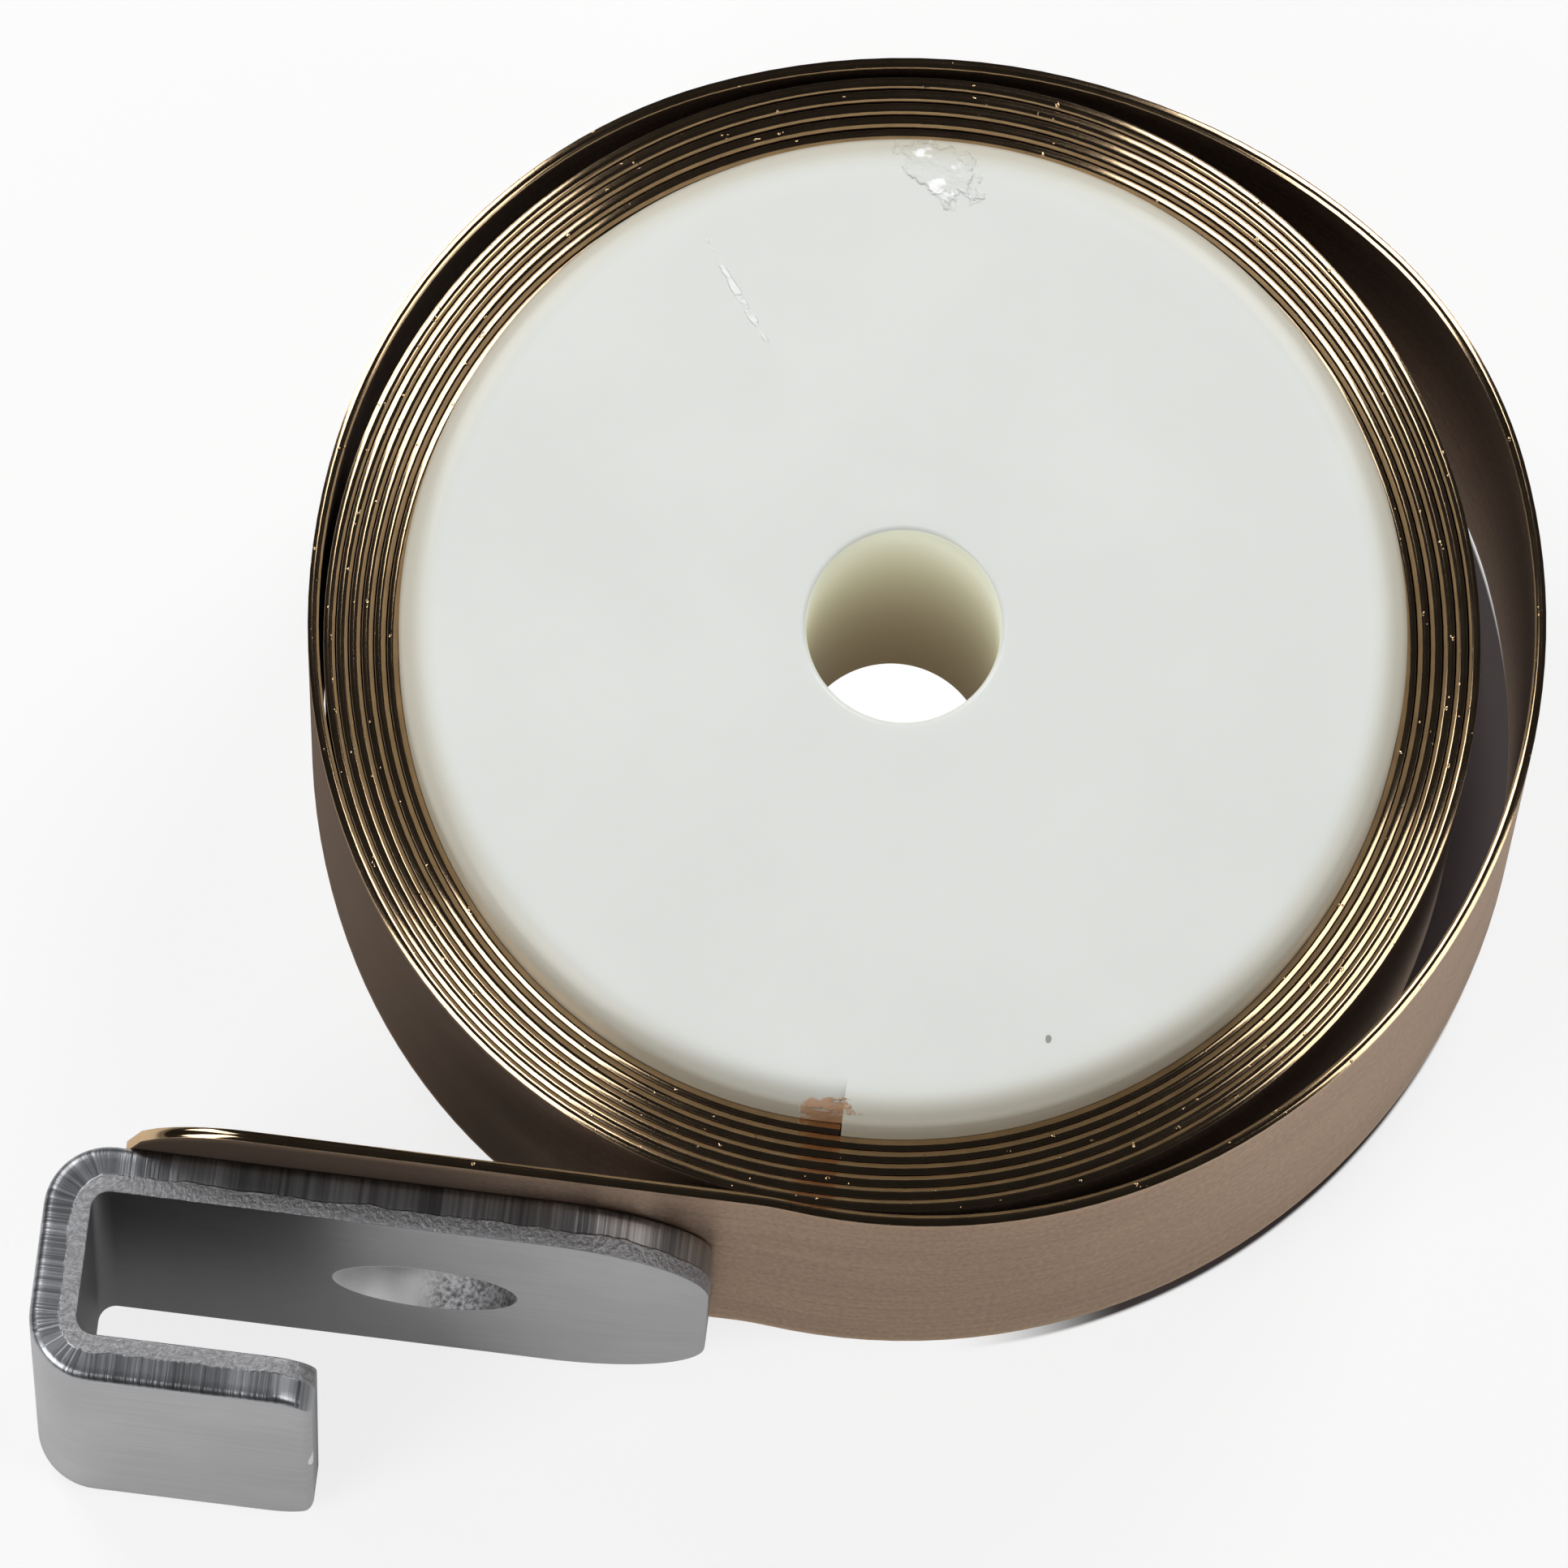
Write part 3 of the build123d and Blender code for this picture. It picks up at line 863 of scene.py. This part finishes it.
def mark_inside(mesh, c, lean):
    """Stores 1 on the points of the bent sheet's inner side and 0 elsewhere: those between the two legs'
    inner faces and right of the web's."""
    points = np.empty(3 * len(mesh.vertices))
    mesh.vertices.foreach_get("co", points)
    points = points.reshape(-1, 3)
    w = (points - lean.origin) @ lean.w
    near, leg = 0.03 * MM, c.strip_gap + c.thickness
    between = (w > leg - near) & (w < leg + c.gap + near)
    past_web = points[:, 0] > CLIP_LOW.x + c.thickness - near
    point_values(mesh, "inside", between & past_web)


def ring_mesh(name, lean, profile, loop=False, count=96):
    """A profile of (radius, w) carried round the clip's hole: a ring where it is a loop, and otherwise a
    solid with filled ends. The hole's centre is its mount's."""
    at = np.array(CLIP_HOLE_AT) - lean.origin
    turn = np.linspace(0, 2 * math.pi, count, endpoint=False)
    radius, w = np.array(profile).T
    x = at @ lean.x + radius[:, None] * np.cos(turn)
    v = at @ lean.v + radius[:, None] * np.sin(turn)
    rings = lean.points(x, v, np.broadcast_to(w[:, None], x.shape))
    around = np.append(turn, 2 * math.pi)[None]
    return rings_mesh(name, rings, radius[:, None], around, loop=loop)


# ------------------------------------------------------------------ operators
class SPRING_OT_strip(bpy.types.Operator):
    """Winds the strip: tight turns, loose outer turn, straight free end"""

    bl_idname = "spring.strip"
    bl_label = "Strip"

    def execute(self, context):
        scene = context.scene
        s, c = scene.spring_strip, scene.spring_clip
        reach = CLIP_HOLE + c.collar_wall + c.collar_gap
        drill = ring_mesh("drill", Leaning(s), [(reach, -1.5 * MM), (reach, 1.0 * MM)])
        mesh = combined(strip_mesh(s, scene.spring_drum), ("DIFFERENCE", drill))
        steel = strip_finish(scene.spring_finish)
        finished("coiled_strip", mesh, steel, "spring_strip")
        return {"FINISHED"}


class SPRING_OT_drum(bpy.types.Operator):
    """Makes the moulded drum with its bore and the snail-shaped seat"""

    bl_idname = "spring.drum"
    bl_label = "Drum"

    def execute(self, context):
        scene = context.scene
        mesh = drum_mesh(scene.spring_drum, scene.spring_strip)
        nylon = nylon_finish(scene.spring_finish)
        finished("nylon_drum", mesh, nylon, "drum")
        return {"FINISHED"}


class SPRING_OT_clip(bpy.types.Operator):
    """Bends the hook clip, with its hole and drawn collar"""

    bl_idname = "spring.clip"
    bl_label = "Hook clip"

    def execute(self, context):
        scene = context.scene
        c, s = scene.spring_clip, scene.spring_strip
        lean = Leaning(s)
        root = c.thickness / 2
        inner = CLIP_HOLE - 0.3 * MM
        wall, far = CLIP_HOLE + c.collar_wall, -s.thickness - c.strip_gap
        lip = c.collar_flange * math.tan(c.flange_taper)
        collar = [
            (inner, root),
            (wall, root),
            (wall, far),
            (wall + c.collar_wall, far),
            (wall + c.collar_wall - lip, far - c.collar_flange),
            (inner, far - c.collar_flange),
        ]
        drill = [(CLIP_HOLE, -2.0 * MM), (CLIP_HOLE, c.thickness + 0.5 * MM)]
        mesh = combined(
            clip_mesh(c, s),
            ("UNION", ring_mesh("collar", lean, collar, loop=True)),
            ("DIFFERENCE", ring_mesh("drill", lean, drill)),
        )
        mark_inside(mesh, c, lean)
        aluminium = aluminium_finish(scene.spring_finish)
        finished("bent_clip", mesh, aluminium, "hook_clip")
        return {"FINISHED"}


class SPRING_OT_studio(bpy.types.Operator):
    """Sets the floor, soft lamps, world and camera"""

    bl_idname = "spring.studio"
    bl_label = "Studio"

    # direction of each lamp from the part, in degrees, and its share of the strength
    lamps = ((62.0, 1.15), (140.0, 1.0), (222.5, 1.0), (344.0, 0.65))
    # brightness of the surroundings at the level and above, and the height at which the second starts
    horizon, above, above_starts = (0.50, 0.50, 0.50, 1), (0.02, 0.02, 0.022, 1), 0.04

    def execute(self, context):
        scene, studio = context.scene, context.scene.spring_studio
        floor_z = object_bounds()[0].z
        bpy.ops.mesh.primitive_plane_add(size=6.0, location=(0, 0, floor_z))
        floor = context.object
        floor.name = "floor"
        floor.data.materials.append(floor_finish(scene.spring_finish))
        floor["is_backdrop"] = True
        for number, (azimuth, share) in enumerate(self.lamps):
            self.lamp(scene, studio, number, math.radians(azimuth), share)
        self.world(scene)
        self.camera(scene, studio)
        scene.view_settings.view_transform = "Standard"
        return {"FINISHED"}

    def lamp(self, scene, studio, number, azimuth, share):
        light = bpy.data.lights.new("soft_lamp_%d" % number, "AREA")
        light.shape = "RECTANGLE"
        distance = studio.lamp_distance
        low, high = distance * math.tan(studio.lamp_low), distance * math.tan(studio.lamp_high)
        light.size, light.size_y = 2 * distance * math.tan(studio.lamp_half_width), high - low
        light.energy = share * studio.lamp_radiance * math.pi * light.size * light.size_y
        lamp = bpy.data.objects.new(light.name, light)
        scene.collection.objects.link(lamp)
        back = np.array([math.cos(azimuth), math.sin(azimuth), 0.0])
        right = np.array([-math.sin(azimuth), math.cos(azimuth), 0.0])
        at = back * distance + np.array([0, 0, (low + high) / 2])
        lamp.matrix_world = placed(right, back, at)

    def world(self, scene):
        world = bpy.data.worlds.new("studio")
        scene.world = world
        world.use_nodes = True
        tree = world.node_tree
        tree.nodes.clear()
        look = tree.nodes.new("ShaderNodeTexCoord")
        parts = tree.nodes.new("ShaderNodeSeparateXYZ")
        tree.links.new(look.outputs["Generated"], parts.inputs[0])
        ramp = tree.nodes.new("ShaderNodeValToRGB")
        first, second = ramp.color_ramp.elements
        first.position, first.color = 0.0, self.horizon
        second.position, second.color = self.above_starts, self.above
        tree.links.new(parts.outputs[2], ramp.inputs[0])
        shade = tree.nodes.new("ShaderNodeBackground")
        tree.links.new(ramp.outputs[0], shade.inputs[0])
        out = tree.nodes.new("ShaderNodeOutputWorld")
        tree.links.new(shade.outputs[0], out.inputs[0])

    def camera(self, scene, studio):
        a, e = studio.azimuth, studio.elevation
        back = np.array([math.cos(e) * math.cos(a), math.cos(e) * math.sin(a), math.sin(e)])
        level = np.array([-math.sin(a), math.cos(a), 0.0])
        right = level * math.cos(studio.roll) + np.cross(back, level) * math.sin(studio.roll)
        camera = bpy.data.objects.new("camera", bpy.data.cameras.new("camera"))
        scene.collection.objects.link(camera)
        camera.data.sensor_width, camera.data.lens = 36.0, studio.lens
        camera.data.clip_start, camera.data.clip_end = 0.01, 20.0
        camera.matrix_world = placed(right, back, np.array(studio.aim) + back * studio.distance)
        scene.camera = camera


def placed(right, back, at):
    """Matrix of a camera or lamp from its right and backward directions and its place."""
    matrix = np.eye(4)
    matrix[:3] = np.column_stack([right, np.cross(back, right), back, at])
    return Matrix(matrix.tolist())


class SPRING_PT_panel(bpy.types.Panel):
    """Lists the spring's sizes and the steps that build it"""

    bl_idname = "SPRING_PT_panel"
    bl_label = "Constant force spring"
    bl_space_type = "VIEW_3D"
    bl_region_type = "UI"
    bl_category = "Spring"

    def draw(self, context):
        for key, group in GROUPS.items():
            box = self.layout.box()
            box.label(text=key.capitalize())
            for name in group.__annotations__:
                box.prop(getattr(context.scene, "spring_" + key), name)
        for operator in OPERATORS:
            self.layout.operator(operator.bl_idname)


OPERATORS = (SPRING_OT_drum, SPRING_OT_strip, SPRING_OT_clip, SPRING_OT_studio)


def register():
    for item in (*GROUPS.values(), *OPERATORS, SPRING_PT_panel):
        bpy.utils.register_class(item)
    for key, group in GROUPS.items():
        setattr(bpy.types.Scene, "spring_" + key, PointerProperty(type=group))


def unregister():
    for key in GROUPS:
        delattr(bpy.types.Scene, "spring_" + key)
    for item in (SPRING_PT_panel, *reversed(OPERATORS), *reversed(GROUPS.values())):
        bpy.utils.unregister_class(item)


def main():
    register()
    bpy.ops.spring.drum()
    bpy.ops.spring.strip()
    bpy.ops.spring.clip()
    bpy.ops.spring.studio()


if __name__ == "__main__":
    main()
